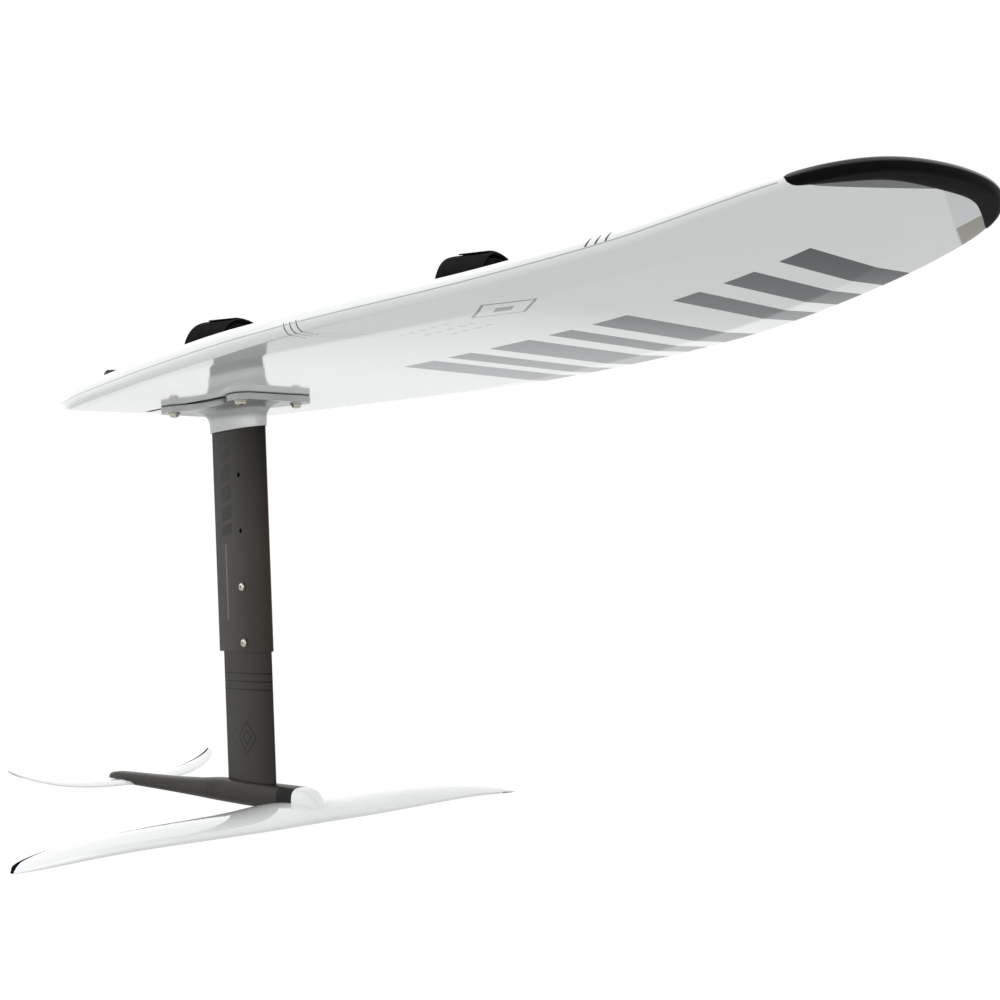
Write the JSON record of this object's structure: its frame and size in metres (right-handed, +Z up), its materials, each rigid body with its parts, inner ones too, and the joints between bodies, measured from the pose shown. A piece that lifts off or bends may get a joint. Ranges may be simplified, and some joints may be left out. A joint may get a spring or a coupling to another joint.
{
  "type": "hydrofoil board",
  "caption": "Hydrofoil board with foot straps, telescoping mast on sliding tracks, fuselage, front wing and rear stabiliser.",
  "frame": {"origin": "point of the flat bottom face of the board that lies on its centre line, 260 mm ahead of the centre of the mast plate's four-bolt pattern", "axes": "+X towards the nose, +Y to port, +Z up; the wings are below the board"},
  "size_m": [1.4926, 0.796, 0.6899],
  "materials": {
    "shell_white": "gloss moulded skin",
    "foam": "closed-cell foam",
    "guard_rubber": "glossy moulded rubber",
    "box_nylon": "moulded nylon",
    "brass_insert": "turned",
    "pad_foam": "grooved EVA",
    "strap_fabric": "knitted neoprene",
    "cover_fabric": "woven webbing and neoprene",
    "anchor_plastic": "moulded",
    "stainless": "stainless",
    "plate_aluminium": "polished casting",
    "gasket_rubber": "matte",
    "mast_anodised": "dark satin anodised",
    "bare_aluminium": "machined",
    "collar_black": "moulded",
    "wing_white": "gloss"
  },
  "bodies": {
    "board": {"bottom_shell": "shell_white", "deck_shell": "shell_white", "foam_core": "foam", "nose_guard": "guard_rubber", "track_box_starboard": "box_nylon", "track_box_port": "box_nylon", "strap_inserts": "brass_insert", "rear_traction_pad": "pad_foam", "front_traction_pad": "pad_foam", "front_strap_pad": "strap_fabric", "rear_strap_pad": "strap_fabric", "front_strap_cover": "cover_fabric", "rear_strap_cover": "cover_fabric", "strap_anchor_plates": "anchor_plastic", "strap_screws": "stainless"},
    "mast_carriage": {"base_plate": "plate_aluminium", "plate_gasket": "gasket_rubber", "plate_screws": "stainless", "plate_washers": "stainless", "track_nuts": "brass_insert", "upper_mast": "mast_anodised", "mast_head_insert": "bare_aluminium", "mast_head_screws": "stainless", "height_screws": "stainless"},
    "lower_foil": {"lower_mast": "mast_anodised", "fuselage": "mast_anodised", "mast_foot_screws": "stainless", "wing_collar": "collar_black", "front_wing": "wing_white", "front_wing_screws": "stainless", "rear_wing": "wing_white", "rear_wing_screws": "stainless"}
  },
  "joints": [
    {"name": "mast_track", "type": "slide", "parent": "board", "child": "mast_carriage", "axis": [1, 0, 0], "range_m": [-0.06, 0.008]},
    {"name": "mast_height", "type": "slide", "parent": "mast_carriage", "child": "lower_foil", "axis": [0, 0, 1], "range_m": [0, 0.153]}
  ]
}
